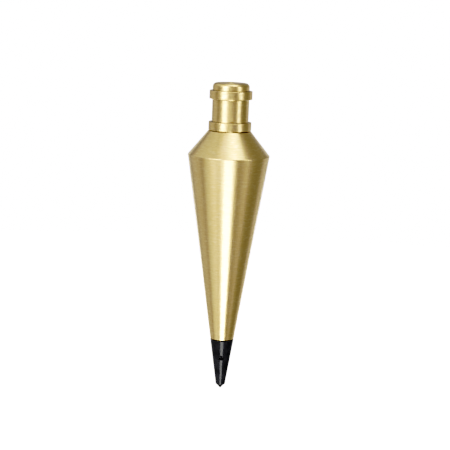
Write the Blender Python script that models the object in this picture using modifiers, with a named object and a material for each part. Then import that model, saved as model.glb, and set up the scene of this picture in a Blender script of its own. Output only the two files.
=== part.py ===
"""Plumb bob: a turned brass body, a screw cap that holds the line, and a blackened steel screw-in point.

Metres, +Z up. The origin is the middle of the line hole's mouth, on the flat top of the cap, and the bob
hangs straight down from it. Each piece is modelled in a frame of its own, whose origin is on the common
axis at the piece's seat, and is then placed by its location.
"""

import math

import bmesh
import bpy
from mathutils import Matrix, Vector

MM = 0.001

# Whole bob. Heights are taken up from the sharp tip.
OVERALL_LENGTH = 140.0 * MM
CAP_SEAM_HEIGHT = 119.0 * MM
SHOULDER_HEIGHT = 107.9 * MM
POINT_SEAM_HEIGHT = 23.65 * MM
SHOULDER_RADIUS = 18.3 * MM
SHOULDER_FILLET = 0.4 * MM
SEAT_GAP = 0.3 * MM
EDGE_FILLET = 0.2 * MM

# Screw cap: a crown, an upper flange, a neck and a lower flange that covers the body's top land.
FLANGE_RADIUS = 9.55 * MM
NECK_RADIUS = 8.2 * MM
CROWN_HEIGHT = 3.4 * MM
CROWN_FILLET = 1.65 * MM
UPPER_FLANGE_THICKNESS = 3.7 * MM
LOWER_FLANGE_THICKNESS = 3.7 * MM
LINE_HOLE_RADIUS = 1.5 * MM
LINE_HOLE_FILLET = 0.8 * MM
KNOT_CHAMBER_RADIUS = 3.5 * MM
KNOT_CHAMBER_ROOF = 5.0 * MM

# Cap thread: a stud on the cap in a tapped socket in the top of the body.
STUD_RADIUS = 6.0 * MM
STUD_LENGTH = 10.0 * MM
STUD_PITCH = 1.75 * MM
CAP_SOCKET_DEPTH = 13.0 * MM

# Point thread: a shank on the steel point in a tapped socket in the bottom of the body.
SHANK_RADIUS = 3.0 * MM
SHANK_LENGTH = 8.0 * MM
SHANK_PITCH = 1.0 * MM
POINT_SOCKET_DEPTH = 10.0 * MM

# Steel point
TIP_CONE_HEIGHT = 2.1 * MM
TIP_CONE_RADIUS = 2.14 * MM
CROSS_HOLE_RADIUS = 0.95 * MM
CROSS_HOLE_HEIGHT = 15.0 * MM
CROSS_DRILL_LENGTH = 12.0 * MM

# Every thread has 60 degree flanks. The male crests stay clear of the female ones by THREAD_CLEARANCE.
THREAD_DEPTH_PER_PITCH = 0.6134
THREAD_CREST_PER_PITCH = 0.125
THREAD_FLANK_ANGLE = math.radians(30)
THREAD_CLEARANCE = 0.3 * MM
THREAD_ROOT_OVERLAP = 0.1 * MM
THREAD_RELIEF = 1.2 * MM
THREAD_END_CHAMFER = 0.6 * MM
SOCKET_MOUTH_CHAMFER = 0.6 * MM
DRILL_POINT_HALF_ANGLE = math.radians(59)

# Smoothness of the round shapes
ROUND_STEPS = 32
FILLET_STEPS = 4
CROSS_HOLE_STEPS = 24
MERGE_DISTANCE = 0.01 * MM
SHARP_ANGLE = math.radians(30)

# Finishes: colour, roughness
BRASS = ((0.78, 0.60, 0.27), 0.22)
BLACK_STEEL = ((0.02, 0.02, 0.023), 0.38)


def body_radius(height):
    """Radius of the long taper that the body and the steel point share, at a height above the tip."""
    slope = (SHOULDER_RADIUS - TIP_CONE_RADIUS) / (SHOULDER_HEIGHT - TIP_CONE_HEIGHT)
    return TIP_CONE_RADIUS + slope * (height - TIP_CONE_HEIGHT)


def fillet(before, corner, after, radius):
    """Arc that rounds a corner, as points from one tangent point to the other."""
    to_before = (before - corner).normalized()
    to_after = (after - corner).normalized()
    half_angle = to_before.angle(to_after) / 2
    centre = corner + (to_before + to_after).normalized() * radius / math.sin(half_angle)
    reach = radius / math.tan(half_angle)
    first_arm = (corner + to_before * reach - centre).normalized()
    last_arm = (corner + to_after * reach - centre).normalized()
    arms = [first_arm.slerp(last_arm, step / FILLET_STEPS) for step in range(FILLET_STEPS + 1)]
    return [centre + radius * arm for arm in arms]


def outline(corners):
    """Points of a turned outline. A corner is (radius, z), or (radius, z, fillet) where it is rounded."""
    points = []
    for index, corner in enumerate(corners):
        here = Vector(corner[:2])
        if len(corner) == 2:
            points.append(here)
        else:
            before = Vector(corners[index - 1][:2])
            after = Vector(corners[(index + 1) % len(corners)][:2])
            points += fillet(before, here, after, corner[2])
    return points


def turned(name, corners, closed):
    """A round solid: the outline runs down its outer side, and is turned once round the Z axis."""
    points = outline(corners)
    edges = [(index, index + 1) for index in range(len(points) - 1)]
    if closed:
        edges.append((len(points) - 1, 0))
    mesh = bpy.data.meshes.new(name)
    mesh.from_pydata([(point.x, 0, point.y) for point in points], edges, [])
    piece = bpy.data.objects.new(name, mesh)
    parts.objects.link(piece)
    screw = piece.modifiers.new("turn", "SCREW")
    screw.axis = "Z"
    screw.steps = screw.render_steps = ROUND_STEPS
    screw.use_merge_vertices = True
    screw.merge_threshold = MERGE_DISTANCE
    return piece


def helper(name, shape):
    """Object that only cuts or joins, made from a bmesh."""
    mesh = bpy.data.meshes.new(name)
    shape.to_mesh(mesh)
    shape.free()
    tool = bpy.data.objects.new(name, mesh)
    tool.display_type = "WIRE"
    tool.hide_render = True
    cutters.objects.link(tool)
    return tool


def thread_ridge(name, root_radius, pitch, bottom_z, top_z):
    """Right-hand helical ridge that stands on a cylinder of root_radius, between two heights."""
    depth = THREAD_DEPTH_PER_PITCH * pitch
    half_crest = THREAD_CREST_PER_PITCH * pitch / 2
    half_base = half_crest + (depth + THREAD_ROOT_OVERLAP) * math.tan(THREAD_FLANK_ANGLE)
    section = [
        (root_radius - THREAD_ROOT_OVERLAP, -half_base),
        (root_radius + depth, -half_crest),
        (root_radius + depth, half_crest),
        (root_radius - THREAD_ROOT_OVERLAP, half_base),
    ]
    steps = round((top_z - bottom_z) / pitch * ROUND_STEPS)
    shape = bmesh.new()
    face = shape.faces.new([shape.verts.new((radius, 0, bottom_z + z)) for radius, z in section])
    bmesh.ops.spin(
        shape,
        geom=[*face.verts, *face.edges, face],
        cent=(0, 0, 0),
        axis=(0, 0, 1),
        dvec=(0, 0, pitch / ROUND_STEPS),
        angle=math.tau * steps / ROUND_STEPS,
        steps=steps,
    )
    half_step = Matrix.Rotation(math.pi / ROUND_STEPS, 4, "Z")
    bmesh.ops.transform(shape, matrix=half_step, verts=shape.verts)
    bmesh.ops.recalc_face_normals(shape, faces=shape.faces)
    return helper(name, shape)


def cross_drill(name, radius, length, z):
    """Cylinder along Y that drills right through a piece at height z."""
    shape = bmesh.new()
    bmesh.ops.create_cone(
        shape, cap_ends=True, segments=CROSS_HOLE_STEPS, radius1=radius, radius2=radius, depth=length,
        matrix=Matrix.Translation((0, 0, z)) @ Matrix.Rotation(math.pi / 2, 4, "X"),
    )
    return helper(name, shape)


def combine(piece, tool, operation):
    """Add an exact Boolean to a piece, for a helper made in the piece's own frame."""
    tool.location = piece.location
    boolean = piece.modifiers.new(tool.name, "BOOLEAN")
    boolean.object = tool
    boolean.operation = operation


def metal(name, finish):
    """Plain metallic material."""
    colour, roughness = finish
    material = bpy.data.materials.new(name)
    material.use_nodes = True
    shader = material.node_tree.nodes["Principled BSDF"]
    shader.inputs["Base Color"].default_value = (*colour, 1)
    shader.inputs["Metallic"].default_value = 1
    shader.inputs["Roughness"].default_value = roughness
    return material


def settle(piece, material):
    """Apply a piece's modifiers, shade it smooth between its sharp edges and give it its material."""
    scene_state = bpy.context.evaluated_depsgraph_get()
    mesh = bpy.data.meshes.new_from_object(piece.evaluated_get(scene_state))
    piece.modifiers.clear()
    piece.data = mesh
    mesh.name = piece.name
    mesh.shade_smooth()
    mesh.set_sharp_from_angle(angle=SHARP_ANGLE)
    mesh.materials.clear()
    mesh.materials.append(material)


def screw_cap():
    """Crown, two flanges and a neck on a hollow threaded stud. The line's knot sits in the hollow."""
    crown_z = -CROWN_HEIGHT
    upper_flange_z = crown_z - UPPER_FLANGE_THICKNESS
    seat_z = CAP_SEAM_HEIGHT - OVERALL_LENGTH
    lower_flange_z = seat_z + LOWER_FLANGE_THICKNESS
    stud_z = seat_z - STUD_LENGTH
    root_radius = STUD_RADIUS - THREAD_DEPTH_PER_PITCH * STUD_PITCH
    roof_cone = (KNOT_CHAMBER_RADIUS - LINE_HOLE_RADIUS) / math.tan(DRILL_POINT_HALF_ANGLE)
    piece = turned("screw_cap", [
        (LINE_HOLE_RADIUS, 0, LINE_HOLE_FILLET),
        (NECK_RADIUS, 0, CROWN_FILLET),
        (NECK_RADIUS, crown_z),
        (FLANGE_RADIUS, crown_z, EDGE_FILLET),
        (FLANGE_RADIUS, upper_flange_z, EDGE_FILLET),
        (NECK_RADIUS, upper_flange_z),
        (NECK_RADIUS, lower_flange_z),
        (FLANGE_RADIUS, lower_flange_z, EDGE_FILLET),
        (FLANGE_RADIUS, seat_z, EDGE_FILLET),
        (root_radius, seat_z),
        (root_radius, stud_z + THREAD_END_CHAMFER),
        (root_radius - THREAD_END_CHAMFER, stud_z),
        (KNOT_CHAMBER_RADIUS, stud_z),
        (KNOT_CHAMBER_RADIUS, -KNOT_CHAMBER_ROOF - roof_cone),
        (LINE_HOLE_RADIUS, -KNOT_CHAMBER_ROOF),
    ], closed=True)
    ridge_bottom = stud_z + THREAD_END_CHAMFER + STUD_PITCH / 2
    ridge = thread_ridge("stud_thread", root_radius, STUD_PITCH, ridge_bottom, seat_z - THREAD_RELIEF)
    combine(piece, ridge, "UNION")
    return piece


def brass_body():
    """Double cone with a tapped socket in each end."""
    top_height = CAP_SEAM_HEIGHT - SEAT_GAP
    shoulder_z = SHOULDER_HEIGHT - top_height
    bottom_z = POINT_SEAM_HEIGHT - top_height
    cap_bore = STUD_RADIUS + THREAD_CLEARANCE
    point_bore = SHANK_RADIUS + THREAD_CLEARANCE
    drill_slope = math.tan(DRILL_POINT_HALF_ANGLE)
    point_socket_z = bottom_z + POINT_SOCKET_DEPTH
    piece = turned("brass_body", [
        (0, -CAP_SOCKET_DEPTH - cap_bore / drill_slope),
        (cap_bore, -CAP_SOCKET_DEPTH),
        (cap_bore, -SOCKET_MOUTH_CHAMFER),
        (cap_bore + SOCKET_MOUTH_CHAMFER, 0),
        (FLANGE_RADIUS, 0, EDGE_FILLET),
        (SHOULDER_RADIUS, shoulder_z, SHOULDER_FILLET),
        (body_radius(POINT_SEAM_HEIGHT), bottom_z, EDGE_FILLET),
        (point_bore + SOCKET_MOUTH_CHAMFER, bottom_z),
        (point_bore, bottom_z + SOCKET_MOUTH_CHAMFER),
        (point_bore, point_socket_z),
        (0, point_socket_z + point_bore / drill_slope),
    ], closed=False)
    piece.location.z = top_height - OVERALL_LENGTH
    cap_thread = thread_ridge(
        "cap_socket_thread", cap_bore, STUD_PITCH, THREAD_RELIEF - CAP_SOCKET_DEPTH, STUD_PITCH)
    combine(piece, cap_thread, "DIFFERENCE")
    thread_top = point_socket_z - THREAD_RELIEF
    point_thread = thread_ridge(
        "point_socket_thread", point_bore, SHANK_PITCH, bottom_z - SHANK_PITCH, thread_top)
    combine(piece, point_thread, "DIFFERENCE")
    return piece


def steel_point():
    """Cone that carries on the body's taper to a sharp tip, with a threaded shank and a tommy-bar hole."""
    top_height = POINT_SEAM_HEIGHT - SEAT_GAP
    root_radius = SHANK_RADIUS - THREAD_DEPTH_PER_PITCH * SHANK_PITCH
    piece = turned("steel_point", [
        (0, SHANK_LENGTH),
        (root_radius - THREAD_END_CHAMFER, SHANK_LENGTH),
        (root_radius, SHANK_LENGTH - THREAD_END_CHAMFER),
        (root_radius, 0),
        (body_radius(top_height), 0, EDGE_FILLET),
        (TIP_CONE_RADIUS, TIP_CONE_HEIGHT - top_height),
        (0, -top_height),
    ], closed=False)
    piece.location.z = top_height - OVERALL_LENGTH
    ridge_top = SHANK_LENGTH - THREAD_END_CHAMFER - SHANK_PITCH / 2
    ridge = thread_ridge("shank_thread", root_radius, SHANK_PITCH, THREAD_RELIEF, ridge_top)
    combine(piece, ridge, "UNION")
    hole_z = CROSS_HOLE_HEIGHT - top_height
    drill = cross_drill("tommy_bar_drill", CROSS_HOLE_RADIUS, CROSS_DRILL_LENGTH, hole_z)
    combine(piece, drill, "DIFFERENCE")
    return piece


for old in list(bpy.data.objects):
    bpy.data.objects.remove(old, do_unlink=True)
parts = bpy.data.collections.new("plumb_bob")
cutters = bpy.data.collections.new("cutters")
for collection in (parts, cutters):
    bpy.context.scene.collection.children.link(collection)

brass = metal("brass", BRASS)
black_steel = metal("black_steel", BLACK_STEEL)
pieces = {screw_cap(): brass, brass_body(): brass, steel_point(): black_steel}
for piece, material in pieces.items():
    settle(piece, material)
for tool in list(cutters.objects):
    bpy.data.objects.remove(tool, do_unlink=True)
bpy.data.collections.remove(cutters)
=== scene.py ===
"""Looks of the plumb bob: fine turned meshes, brass and black steel finishes, and a plain studio.

Everything is in metres, in the CAD model's frame: the origin is the mouth of the line hole, and the bob
hangs down -Z.
"""

import math

import bmesh
import bpy
import numpy as np
from mathutils import Euler, Matrix, Vector


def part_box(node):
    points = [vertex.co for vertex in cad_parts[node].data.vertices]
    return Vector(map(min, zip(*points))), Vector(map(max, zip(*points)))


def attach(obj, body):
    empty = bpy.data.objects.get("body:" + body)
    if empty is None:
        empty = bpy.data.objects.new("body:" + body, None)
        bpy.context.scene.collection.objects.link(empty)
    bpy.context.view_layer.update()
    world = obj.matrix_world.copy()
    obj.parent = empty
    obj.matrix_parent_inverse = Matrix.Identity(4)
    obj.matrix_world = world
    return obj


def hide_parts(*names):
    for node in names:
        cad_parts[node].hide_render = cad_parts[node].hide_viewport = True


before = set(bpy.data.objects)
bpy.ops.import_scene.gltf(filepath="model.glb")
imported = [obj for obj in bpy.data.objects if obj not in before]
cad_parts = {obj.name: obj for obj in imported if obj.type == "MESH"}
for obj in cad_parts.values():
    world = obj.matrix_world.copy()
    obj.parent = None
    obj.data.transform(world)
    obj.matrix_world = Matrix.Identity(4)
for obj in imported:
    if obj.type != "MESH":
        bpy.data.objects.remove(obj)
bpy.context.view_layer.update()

MM = 0.001

# Seats and outside sizes that the frame gives
CAP_LOW, CAP_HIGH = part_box("screw_cap")
BODY_LOW, BODY_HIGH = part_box("brass_body")
POINT_LOW, POINT_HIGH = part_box("steel_point")
FLANGE_RADIUS = CAP_HIGH.x

# Screw cap
NECK_RADIUS = 8.2 * MM
CROWN_HEIGHT = 3.4 * MM
CROWN_FILLET = 1.65 * MM
UPPER_FLANGE_THICKNESS = 3.7 * MM
LOWER_FLANGE_THICKNESS = 3.7 * MM
LINE_HOLE_RADIUS = 1.5 * MM
LINE_HOLE_FILLET = 0.8 * MM
KNOT_CHAMBER_RADIUS = 3.5 * MM
KNOT_CHAMBER_ROOF = 5.0 * MM
STUD_RADIUS = 6.0 * MM
STUD_LENGTH = 10.0 * MM
STUD_PITCH = 1.75 * MM

# Brass body. The shoulder is a hair smaller than the CAD body's, so that its finer ring stays in the box.
SHOULDER_RADIUS = 18.2999 * MM
SHOULDER_DROP = 10.8 * MM
SHOULDER_FILLET = 0.4 * MM
CAP_SOCKET_DEPTH = 13.0 * MM
POINT_SOCKET_DEPTH = 10.0 * MM

# Steel point
SHANK_RADIUS = 3.0 * MM
SHANK_LENGTH = 8.0 * MM
SHANK_PITCH = 1.0 * MM
TIP_CONE_HEIGHT = 2.1 * MM
TIP_CONE_RADIUS = 2.14 * MM
CROSS_HOLE_RADIUS = 0.95 * MM
CROSS_HOLE_HEIGHT = 15.0 * MM
CROSS_HOLE_FLARE = 0.2 * MM
DRILL_REACH_PER_RADIUS = 1.5

# Threads: depth and the flats on crest and root as shares of the pitch
THREAD_DEPTH_PER_PITCH = 0.6134
THREAD_CREST_PER_PITCH = 0.125
THREAD_ROOT_PER_PITCH = 0.25
THREAD_CLEARANCE = 0.3 * MM
THREAD_RELIEF = 1.2 * MM
END_CHAMFER = 0.6 * MM
DRILL_SLOPE = math.tan(math.radians(59))

# Fineness of the turned meshes, with the extra rings that hold the shading flat beside a corner
ROUND_STEPS = 192
FILLET_STEPS = 4
FILLET_STRETCH = 0.15 * MM
EDGE_FILLET = 0.20 * MM
HOLLOW_FILLET = 0.10 * MM
SUPPORTS = (0.10 * MM, 0.35 * MM, 0.9 * MM)
LONGEST_STRETCH = 3.0 * MM
RINGS_PER_PITCH = 12
SAME_PLACE = 0.0001 * MM
SHARP_ANGLE = math.radians(32)

# Camera: the point it looks at, how far off it stands, and how it is turned
AIM = Vector((-0.51, 0, -63.97)) * MM
CAMERA_DISTANCE = 0.6295
CAMERA_ELEVATION = math.radians(9.97)
CAMERA_ROLL = math.radians(2.14)
CAMERA_LENS = 111.7


# ---- turned meshes ----

def body_radius(height):
    """Radius of the long taper that the body and the point share, at a height above the tip."""
    shoulder_height = BODY_HIGH.z - SHOULDER_DROP - POINT_LOW.z
    slope = (SHOULDER_RADIUS - TIP_CONE_RADIUS) / (shoulder_height - TIP_CONE_HEIGHT)
    return TIP_CONE_RADIUS + slope * (height - TIP_CONE_HEIGHT)


def rounded(before, corner, after, radius):
    """Points of the arc that rounds a corner."""
    to_before = (before - corner).normalized()
    to_after = (after - corner).normalized()
    half_angle = to_before.angle(to_after) / 2
    centre = corner + (to_before + to_after).normalized() * radius / math.sin(half_angle)
    reach = radius / math.tan(half_angle)
    first_arm = (corner + to_before * reach - centre).normalized()
    last_arm = (corner + to_after * reach - centre).normalized()
    steps = max(FILLET_STEPS, round(radius / FILLET_STRETCH))
    arms = [first_arm.slerp(last_arm, step / steps) for step in range(steps + 1)]
    return [centre + radius * arm for arm in arms]


def between(start, end, threads):
    """Points inside a straight stretch: close at its ends, never far apart, and fine on a threaded wall."""
    length = (end - start).length
    longest = LONGEST_STRETCH
    for wall, pitch, _, _ in threads:
        if abs(start.x - wall) < SAME_PLACE and abs(end.x - wall) < SAME_PLACE:
            longest = pitch / RINGS_PER_PITCH
    steps = math.ceil(length / longest)
    marks = [length * step / steps for step in range(1, steps)]
    for reach in SUPPORTS:
        if reach < length / 2:
            marks += [reach, length - reach]
    least_gap = SUPPORTS[0] / 2
    spaced = [0]
    for mark in sorted(marks):
        if mark - spaced[-1] > least_gap and length - mark > least_gap:
            spaced.append(mark)
    return [start.lerp(end, mark / length) for mark in spaced[1:]]


def rings_of(corners, closed, threads):
    """Rings (radius, z) of an outline, how far along it they lie, and where its edges and hollows are."""
    spots = [Vector(corner[:2]) for corner in corners]
    arcs = []
    for index, corner in enumerate(corners):
        before, after = spots[index - 1], spots[(index + 1) % len(spots)]
        if len(corner) == 3:
            arcs.append(rounded(before, spots[index], after, corner[2]))
        else:
            arcs.append([spots[index]])
    rings, edges, hollows = [], [], []
    for index, arc in enumerate(arcs):
        if closed or 0 < index < len(arcs) - 1:
            before, after = spots[index - 1], spots[(index + 1) % len(spots)]
            turns_in = (spots[index] - before).cross(after - spots[index]) < 0
            (edges if turns_in else hollows).append(len(rings) + len(arc) // 2)
        rings += arc
        if closed or index < len(arcs) - 1:
            rings += between(arc[-1], arcs[(index + 1) % len(arcs)][0], threads)
    rings = np.array([tuple(ring) for ring in rings])
    run = np.concatenate([[0], np.cumsum(np.linalg.norm(np.diff(rings, axis=0), axis=1))])
    return rings, run, run[edges], run[hollows]


def tooth(radius, height, angle, thread):
    """Height of a thread above its root at places on its wall."""
    wall, pitch, bottom, top = thread
    phase = ((height - bottom) / pitch - angle / math.tau + 0.5) % 1 - 0.5
    half_base = (1 - THREAD_ROOT_PER_PITCH) / 2
    half_crest = THREAD_CREST_PER_PITCH / 2
    rise = (half_base - np.abs(phase)) / (half_base - half_crest)
    fade = np.clip(np.minimum(height - bottom, top - height) / (pitch / 2), 0, 1)
    on_wall = np.abs(radius - wall) < SAME_PLACE
    return on_wall * fade * np.clip(rise, 0, 1) * THREAD_DEPTH_PER_PITCH * pitch


def turned(name, corners, closed, threads=()):
    """Round solid. The outline runs down its outer side.

    A corner is (radius, z) or (radius, z, fillet), and a thread is (wall radius, pitch, bottom, top).
    The mesh keeps, on every point, how far along the outline it lies ("run"), and how far from the
    nearest outside edge ("edge") and inside corner ("hollow").
    """
    rings, run, edge_runs, hollow_runs = rings_of(corners, closed, threads)
    radius, height = rings[:, :1], rings[:, 1:]
    angle = np.arange(ROUND_STEPS)[None, :] * math.tau / ROUND_STEPS
    teeth = np.zeros((len(rings), ROUND_STEPS))
    for thread in threads:
        teeth += tooth(radius, height, angle, thread)
    reach = radius + teeth
    blank = np.zeros_like(reach)
    points = np.stack([reach * np.cos(angle), reach * np.sin(angle), height + blank], axis=2)
    number = np.arange(len(rings) * ROUND_STEPS).reshape(len(rings), ROUND_STEPS)
    upper = number if closed else number[:-1]
    lower = np.roll(number, -1, axis=0) if closed else number[1:]
    faces = np.stack([upper, lower, np.roll(lower, -1, axis=1), np.roll(upper, -1, axis=1)], axis=2)
    mesh = bpy.data.meshes.new(name)
    mesh.from_pydata(points.reshape(-1, 3).tolist(), [], faces.reshape(-1, 4).tolist())

    depth = max([THREAD_DEPTH_PER_PITCH * pitch for _, pitch, _, _ in threads], default=0)
    to_edge = np.abs(run[:, None] - edge_runs[None, :]).min(axis=1)[:, None] + blank
    to_hollow = np.abs(run[:, None] - hollow_runs[None, :]).min(axis=1)[:, None] + blank
    to_edge = np.where(teeth > 0, np.minimum(to_edge, depth - teeth), to_edge)
    for label, values in (("run", run[:, None] + blank), ("edge", to_edge), ("hollow", to_hollow)):
        attribute = mesh.attributes.new(label, "FLOAT", "POINT")
        attribute.data.foreach_set("value", values.astype(np.float32).ravel())

    shape = bmesh.new()
    shape.from_mesh(mesh)
    bmesh.ops.remove_doubles(shape, verts=shape.verts, dist=SAME_PLACE)
    shape.to_mesh(mesh)
    shape.free()
    piece = bpy.data.objects.new(name, mesh)
    bpy.context.scene.collection.objects.link(piece)
    return piece


def smooth(piece):
    """Smooth shading between the sharp edges."""
    piece.data.shade_smooth()
    piece.data.set_sharp_from_angle(angle=SHARP_ANGLE)


# ---- pieces ----

def cap_piece():
    """Crown, two flanges and a neck on a hollow threaded stud."""
    crown_z = -CROWN_HEIGHT
    upper_z = crown_z - UPPER_FLANGE_THICKNESS
    seat_z = CAP_LOW.z + STUD_LENGTH
    lower_z = seat_z + LOWER_FLANGE_THICKNESS
    stud_z = CAP_LOW.z
    root = STUD_RADIUS - THREAD_DEPTH_PER_PITCH * STUD_PITCH
    roof_cone = (KNOT_CHAMBER_RADIUS - LINE_HOLE_RADIUS) / DRILL_SLOPE
    return turned("turned_cap", [
        (LINE_HOLE_RADIUS, 0, LINE_HOLE_FILLET),
        (NECK_RADIUS, 0, CROWN_FILLET),
        (NECK_RADIUS, crown_z, HOLLOW_FILLET),
        (FLANGE_RADIUS, crown_z, EDGE_FILLET),
        (FLANGE_RADIUS, upper_z, EDGE_FILLET),
        (NECK_RADIUS, upper_z, HOLLOW_FILLET),
        (NECK_RADIUS, lower_z, HOLLOW_FILLET),
        (FLANGE_RADIUS, lower_z, EDGE_FILLET),
        (FLANGE_RADIUS, seat_z, EDGE_FILLET),
        (root, seat_z, HOLLOW_FILLET),
        (root, stud_z + END_CHAMFER, HOLLOW_FILLET),
        (root - END_CHAMFER, stud_z, HOLLOW_FILLET),
        (KNOT_CHAMBER_RADIUS, stud_z, HOLLOW_FILLET),
        (KNOT_CHAMBER_RADIUS, -KNOT_CHAMBER_ROOF - roof_cone, HOLLOW_FILLET),
        (LINE_HOLE_RADIUS, -KNOT_CHAMBER_ROOF, HOLLOW_FILLET),
    ], closed=True, threads=[(root, STUD_PITCH, stud_z + END_CHAMFER, seat_z - THREAD_RELIEF)])


def body_piece():
    """Double cone with a tapped socket in each end."""
    top, bottom = BODY_HIGH.z, BODY_LOW.z
    cap_bore = STUD_RADIUS + THREAD_CLEARANCE
    point_bore = SHANK_RADIUS + THREAD_CLEARANCE
    cap_socket_z = top - CAP_SOCKET_DEPTH
    point_socket_z = bottom + POINT_SOCKET_DEPTH
    return turned("turned_body", [
        (0, cap_socket_z - cap_bore / DRILL_SLOPE),
        (cap_bore, cap_socket_z, HOLLOW_FILLET),
        (cap_bore, top - END_CHAMFER, HOLLOW_FILLET),
        (cap_bore + END_CHAMFER, top, HOLLOW_FILLET),
        (FLANGE_RADIUS, top, EDGE_FILLET),
        (SHOULDER_RADIUS, top - SHOULDER_DROP, SHOULDER_FILLET),
        (body_radius(bottom - POINT_LOW.z), bottom, EDGE_FILLET),
        (point_bore + END_CHAMFER, bottom, HOLLOW_FILLET),
        (point_bore, bottom + END_CHAMFER, HOLLOW_FILLET),
        (point_bore, point_socket_z, HOLLOW_FILLET),
        (0, point_socket_z + point_bore / DRILL_SLOPE),
    ], closed=False, threads=[
        (cap_bore, STUD_PITCH, cap_socket_z + THREAD_RELIEF, top),
        (point_bore, SHANK_PITCH, bottom, point_socket_z - THREAD_RELIEF),
    ])


def point_piece():
    """Steel cone with a threaded shank, drilled across for a tommy bar."""
    tip, seat = POINT_LOW.z, POINT_HIGH.z - SHANK_LENGTH
    root = SHANK_RADIUS - THREAD_DEPTH_PER_PITCH * SHANK_PITCH
    piece = turned("turned_point", [
        (0, POINT_HIGH.z),
        (root - END_CHAMFER, POINT_HIGH.z, HOLLOW_FILLET),
        (root, POINT_HIGH.z - END_CHAMFER, HOLLOW_FILLET),
        (root, seat, HOLLOW_FILLET),
        (body_radius(seat - tip), seat, EDGE_FILLET),
        (TIP_CONE_RADIUS, tip + TIP_CONE_HEIGHT, HOLLOW_FILLET),
        (0, tip),
    ], closed=False, threads=[(root, SHANK_PITCH, seat + THREAD_RELIEF, POINT_HIGH.z - END_CHAMFER)])
    surface = body_radius(CROSS_HOLE_HEIGHT)
    reach = DRILL_REACH_PER_RADIUS * surface
    mouth = CROSS_HOLE_RADIUS + reach - surface + CROSS_HOLE_FLARE
    drill = turned("drill", [
        (0, reach),
        (mouth, reach),
        (CROSS_HOLE_RADIUS, surface - CROSS_HOLE_FLARE, HOLLOW_FILLET),
        (CROSS_HOLE_RADIUS, CROSS_HOLE_FLARE - surface, HOLLOW_FILLET),
        (mouth, -reach),
        (0, -reach),
    ], closed=False)
    lift = Matrix.Translation((0, 0, tip + CROSS_HOLE_HEIGHT))
    drill.matrix_world = lift @ Matrix.Rotation(math.pi / 2, 4, "X")
    cut = piece.modifiers.new("cross_hole", "BOOLEAN")
    cut.object = drill
    cut.operation = "DIFFERENCE"
    drilled = piece.evaluated_get(bpy.context.evaluated_depsgraph_get())
    mesh = bpy.data.meshes.new_from_object(drilled)
    piece.modifiers.clear()
    piece.data = mesh
    bpy.data.objects.remove(drill)
    return piece


# ---- finishes ----

# Brass, clean and aged, and the dark of its inside corners: tarnish and painted shade
BRASS_DEEP = (0.86, 0.665, 0.335, 1)
BRASS_LIGHT = (0.885, 0.695, 0.365, 1)
BRASS_MOTTLED = (0.82, 0.62, 0.275, 1)
BRASS_RINGED = (0.78, 0.59, 0.265, 1)
BRASS_RUBBED = (1.0, 0.83, 0.52, 1)
BRASS_WORN = (0.95, 0.80, 0.50, 1)
TARNISH_AND_PAINTED_SHADE = (0.14, 0.115, 0.065, 1)

# Black oxide, and the steel where it has worn away
OXIDE_DARK = (0.018, 0.018, 0.0185, 1)
OXIDE_GREY = (0.028, 0.028, 0.029, 1)
BARE_STEEL = (0.30, 0.29, 0.28, 1)

# Heights of the turning marks, and the turn of the drawn-out highlights against them
BRASS_RING_HEIGHT = 0.002 * MM
BRASS_FINE_RING_HEIGHT = 0.0005 * MM
STEEL_RING_HEIGHT = 0.001 * MM
QUARTER_TURN = 0.25


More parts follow.
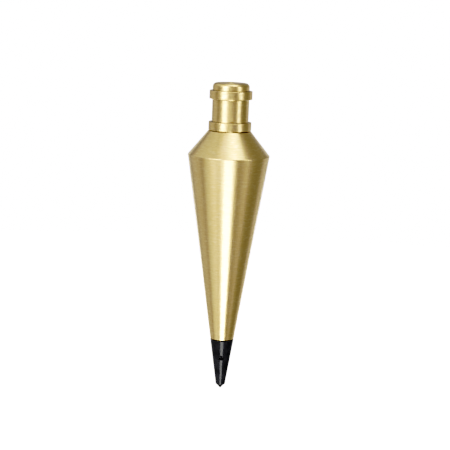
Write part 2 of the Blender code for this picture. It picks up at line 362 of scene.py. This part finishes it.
class Finish:
    """A Principled material under construction."""

    def __init__(self, name):
        self.material = bpy.data.materials.new(name)
        self.material.use_nodes = True
        self.tree = self.material.node_tree
        self.shader = self.tree.nodes["Principled BSDF"]

    def put(self, socket, value):
        """Give an input a number or colour, or link it to an output."""
        if isinstance(value, bpy.types.NodeSocket):
            self.tree.links.new(value, socket)
        else:
            socket.default_value = value

    def surface(self, values):
        """Give the shader's own inputs their values."""
        for key, value in values.items():
            self.put(self.shader.inputs[key], value)

    def node(self, kind, inputs, output=0, **settings):
        """Add a node with its settings and inputs, and return one of its outputs."""
        made = self.tree.nodes.new(kind)
        for setting, value in settings.items():
            setattr(made, setting, value)
        for key, value in inputs.items():
            self.put(made.inputs[key], value)
        return made.outputs[output]

    def attribute(self, label):
        """A distance stored on the mesh, in metres."""
        return self.node("ShaderNodeAttribute", {}, "Fac", attribute_name=label)

    def around(self):
        """Direction of the turning marks, round the axis."""
        return self.node("ShaderNodeTangent", {}, direction_type="RADIAL", axis="Z")

    def math(self, operation, first, second=0.0, third=0.0):
        """One sum on values or outputs."""
        return self.node("ShaderNodeMath", {0: first, 1: second, 2: third}, operation=operation)

    def ramp(self, value, low, high, to_low=0.0, to_high=1.0):
        """Smooth step of a value from one range to another."""
        inputs = {"Value": value, "From Min": low, "From Max": high, "To Min": to_low, "To Max": to_high}
        return self.node("ShaderNodeMapRange", inputs, interpolation_type="SMOOTHSTEP")

    def mix(self, amount, first, second):
        """Colour between two colours. A Mix node keeps its colours in inputs 6 and 7 and in output 2."""
        return self.node("ShaderNodeMix", {0: amount, 6: first, 7: second}, 2, data_type="RGBA")

    def blotches(self, size, squash=1.0, detail=3.0, roughness=0.55):
        """Soft noise in space, 0 to 1, with features of about this size, flattened along the axis."""
        where = self.node("ShaderNodeTexCoord", {}, "Object")
        where = self.node("ShaderNodeMapping", {"Vector": where, "Scale": (1, 1, squash)})
        inputs = {"Vector": where, "Scale": 1 / size, "Detail": detail, "Roughness": roughness}
        return self.node("ShaderNodeTexNoise", inputs)

    def tool_marks(self, size, detail=4.0):
        """Noise that only changes along the outline, 0 to 1, as a turning tool leaves it."""
        run = self.math("DIVIDE", self.attribute("run"), size)
        inputs = {"W": run, "Scale": 1.0, "Detail": detail, "Roughness": 0.6}
        return self.node("ShaderNodeTexNoise", inputs, noise_dimensions="1D")

    def bump(self, pattern, height, normal=None):
        """Surface direction with a pattern raised to this height, on top of another such direction."""
        inputs = {"Height": pattern, "Distance": height, "Strength": 1.0}
        if normal is not None:
            inputs["Normal"] = normal
        return self.node("ShaderNodeBump", inputs)


def brass_finish():
    """Turned and polished brass: fine rings, tarnish and painted shade in the inside corners, bright worn
    edges.
    """
    finish = Finish("turned_brass")
    rings = finish.tool_marks(0.9 * MM)
    fine_rings = finish.tool_marks(0.16 * MM, detail=2.0)
    handling = finish.blotches(9 * MM)
    mottle = finish.blotches(2.2 * MM, squash=2.5)
    rubbing = finish.blotches(2.6 * MM, squash=7.0, roughness=0.6)
    speckle = finish.blotches(0.8 * MM, detail=2.0)
    edge = finish.ramp(finish.attribute("edge"), 0.05 * MM, 0.30 * MM, 0.25, 0.0)
    worn = finish.math("MULTIPLY", edge, finish.ramp(speckle, 0.35, 0.6))
    # Darker towards the inside corners, in patches: tarnish, and painted shade where the corners are
    # shadowed
    corner = finish.ramp(finish.attribute("hollow"), 0.05 * MM, 0.45 * MM, 1.0, 0.0)
    tarnish_and_shade_mask = finish.math("MULTIPLY", corner, finish.ramp(handling, 0.2, 0.7, 0.4, 0.85))

    colour = finish.mix(finish.ramp(handling, 0.35, 0.65), BRASS_DEEP, BRASS_LIGHT)
    colour = finish.mix(finish.ramp(mottle, 0.3, 0.7, 0.0, 0.7), colour, BRASS_MOTTLED)
    colour = finish.mix(finish.ramp(rings, 0.3, 0.7, 0.0, 0.45), colour, BRASS_RINGED)
    colour = finish.mix(finish.ramp(rubbing, 0.5, 0.65, 0.0, 0.5), colour, BRASS_RUBBED)
    # Painted shade and tarnish darken the inside corners
    colour = finish.mix(tarnish_and_shade_mask, colour, TARNISH_AND_PAINTED_SHADE)
    colour = finish.mix(worn, colour, BRASS_WORN)

    rough = finish.ramp(rings, 0.25, 0.75, 0.285, 0.335)
    rough = finish.math("ADD", rough, finish.ramp(mottle, 0.3, 0.7, 0.0, 0.03))
    rough = finish.math("MULTIPLY_ADD", tarnish_and_shade_mask, 0.25, rough)
    rough = finish.math("ADD", rough, finish.ramp(rubbing, 0.35, 0.65, 0.04, 0.0))

    relief = finish.bump(rings, BRASS_RING_HEIGHT)
    relief = finish.bump(fine_rings, BRASS_FINE_RING_HEIGHT, relief)
    finish.surface({
        "Base Color": colour,
        "Metallic": 1.0,
        "Roughness": rough,
        "Normal": relief,
        "Tangent": finish.around(),
        "Anisotropic": 0.5,
        "Anisotropic Rotation": QUARTER_TURN,
        "Coat Weight": 0.7,
        "Coat Roughness": 0.3,
    })
    return finish.material


def steel_finish():
    """Black oxide on hardened steel: satin black, faint turning rings, grey where the edges have worn."""
    finish = Finish("black_oxide_steel")
    rings = finish.tool_marks(0.5 * MM)
    patches = finish.blotches(4 * MM)
    speckle = finish.blotches(0.5 * MM)
    edge = finish.ramp(finish.attribute("edge"), 0.03 * MM, 0.30 * MM, 1.0, 0.0)
    worn = finish.math("MULTIPLY", edge, finish.ramp(speckle, 0.45, 0.65, 0.0, 0.14))

    colour = finish.mix(finish.ramp(patches, 0.3, 0.7), OXIDE_DARK, OXIDE_GREY)
    colour = finish.mix(worn, colour, BARE_STEEL)
    rough = finish.ramp(rings, 0.25, 0.75, 0.285, 0.32)
    rough = finish.math("ADD", rough, finish.ramp(patches, 0.3, 0.8, 0.0, 0.03))
    finish.surface({
        "Base Color": colour,
        "Metallic": worn,
        "Roughness": rough,
        "Normal": finish.bump(rings, STEEL_RING_HEIGHT),
        "Tangent": finish.around(),
        "Anisotropic": 0.4,
        "Anisotropic Rotation": QUARTER_TURN,
        "Specular IOR Level": 0.34,
    })
    return finish.material


# ---- studio ----

CENTRE = Vector((0, 0, -70 * MM))
LIGHT_DISTANCE = 1.2
STAGE_RADIUS = 3.0
FLOOR_DEPTH = 0.62
FLOOR_GREY = 0.15
FLOOR_GLOW = 0.9
WORLD_GREY = (0.20, 0.20, 0.20, 1)
WHITE = 1.6

# Area lights: name, azimuth and elevation of the middle, width and height, all in degrees, and brightness.
# Azimuth 0 is the camera's side, and it grows to the camera's right.
LIGHTS = (
    ("front_low", 2, -40, 25, 34, 7.4),
    ("front_inner", -18, 12, 14, 24, 0.2),
    ("low_inner", -16, -37, 11, 36, 1.2),
    ("left_key", -36, 8, 29, 28, 4.4),
    ("left_high", -40, 34, 46, 24, 2.3),
    ("left_low", -56, -30, 40, 30, 0.5),
    ("left_wall", -112, -10, 44, 70, 0.22),
    ("left_sky", -105, 45, 60, 30, 0.35),
    ("right_strip", 55, 9, 13, 22, 5.4),
    ("overhead", 35, 62, 35, 30, 1.85),
    ("top", 0, 88, 34, 34, 1.4),
    ("right_low", 42, -30, 44, 34, 0.08),
    ("right_wall", 140, 36, 24, 30, 0.06),
    ("back_high", 180, 12, 50, 20, 0.12),
    ("right_rim", 132, -15, 22, 56, 0.28),
    ("back_left", -158, -15, 20, 60, 0.4),
    ("back_right", 162, -15, 20, 60, 0.35),
    ("back_low", 180, -32, 50, 40, 2.5),
)

# Contrast of the picture: scene light on the left, shown light on the right
TONE_POINTS = ((0.062, 0.008), (0.133, 0.10), (0.20, 0.20), (0.426, 0.50), (0.863, 0.80), (1.258, 0.92))

# Tint of the picture after that: less green in the lights, less blue in the midtones and more above them
GREEN_POINTS = (
    (0.05, 0.05), (0.13, 0.13), (0.30, 0.295), (0.44, 0.42), (0.60, 0.58), (0.73, 0.71), (0.86, 0.85),
)
BLUE_POINTS = (
    (0.02, 0.02), (0.07, 0.072), (0.19, 0.175), (0.36, 0.335), (0.46, 0.45), (0.56, 0.61), (0.83, 0.88),
)


def lit(name, base, glow):
    """Matt material that glows, for the floor and the backdrop."""
    finish = Finish(name)
    finish.surface({
        "Base Color": (base, base, base, 1),
        "Roughness": 1.0,
        "Specular IOR Level": 0.0,
        "Emission Color": (1, 1, 1, 1),
        "Emission Strength": glow,
    })
    return finish.material


def softbox(name, azimuth, elevation, width, height, brightness):
    """Area light that faces the bob. Its place and its size are angles in degrees, seen from the bob."""
    across, up = math.radians(azimuth), math.radians(elevation)
    toward = Vector((math.sin(across) * math.cos(up), -math.cos(across) * math.cos(up), math.sin(up)))
    data = bpy.data.lights.new(name, "AREA")
    data.shape = "RECTANGLE"
    data.size = 2 * LIGHT_DISTANCE * math.tan(math.radians(width) / 2)
    data.size_y = 2 * LIGHT_DISTANCE * math.tan(math.radians(height) / 2)
    data.energy = brightness * math.pi * data.size * data.size_y
    lamp = bpy.data.objects.new(name, data)
    lamp.location = CENTRE + LIGHT_DISTANCE * toward
    lamp.rotation_euler = toward.to_track_quat("Z", "Y").to_euler()
    lamp.visible_camera = False
    bpy.context.scene.collection.objects.link(lamp)


def studio():
    """Pale floor and surround, a dim world, and soft lights round the bob."""
    foot = (0, 0, -FLOOR_DEPTH)
    bpy.ops.mesh.primitive_circle_add(vertices=96, radius=STAGE_RADIUS, fill_type="NGON", location=foot)
    floor = bpy.context.object
    floor.name = "floor"
    floor.data.materials.append(lit("floor_white", FLOOR_GREY, FLOOR_GLOW * WHITE))
    bpy.ops.mesh.primitive_uv_sphere_add(segments=64, ring_count=32, radius=STAGE_RADIUS, location=foot)
    surround = bpy.context.object
    surround.name = "surround"
    surround.data.materials.append(lit("surround_white", 0.0, WHITE))
    for stand in (floor, surround):
        stand.visible_glossy = False

    world = bpy.data.worlds.new("studio")
    world.use_nodes = True
    world.node_tree.nodes["Background"].inputs["Color"].default_value = WORLD_GREY
    bpy.context.scene.world = world
    for light in LIGHTS:
        softbox(*light)


def camera():
    """Camera a little above the bob's level, rolled so that the bob leans to one side."""
    data = bpy.data.cameras.new("camera")
    data.lens = CAMERA_LENS
    eye = bpy.data.objects.new("camera", data)
    back = Vector((0, -math.cos(CAMERA_ELEVATION), math.sin(CAMERA_ELEVATION)))
    eye.location = AIM + CAMERA_DISTANCE * back
    look = back.to_track_quat("Z", "Y") @ Euler((0, 0, CAMERA_ROLL)).to_quaternion()
    eye.rotation_euler = look.to_euler()
    bpy.context.scene.collection.objects.link(eye)
    bpy.context.scene.camera = eye


def tone():
    """Contrast and tint of the picture. The mapping's curves are red, green, blue and combined."""
    view = bpy.context.scene.view_settings
    view.view_transform = "Standard"
    view.use_curve_mapping = True
    mapping = view.curve_mapping
    mapping.white_level = (WHITE, WHITE, WHITE)
    _, green, blue, combined = mapping.curves
    for light, shown in TONE_POINTS:
        combined.points.new(light / WHITE, shown)
    for curve, points in ((green, GREEN_POINTS), (blue, BLUE_POINTS)):
        for before, after in points:
            curve.points.new(before, after)
    mapping.update()


# ---- scene ----

brass, steel = brass_finish(), steel_finish()
for piece, node, body, slot, material in (
    (cap_piece(), "screw_cap", "cap", "brass", brass),
    (body_piece(), "brass_body", "bob", "brass", brass),
    (point_piece(), "steel_point", "point", "black_steel", steel),
):
    smooth(piece)
    piece.data.materials.clear()
    piece.data.materials.append(material)
    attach(piece, body)
    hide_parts(node)
studio()
camera()
tone()
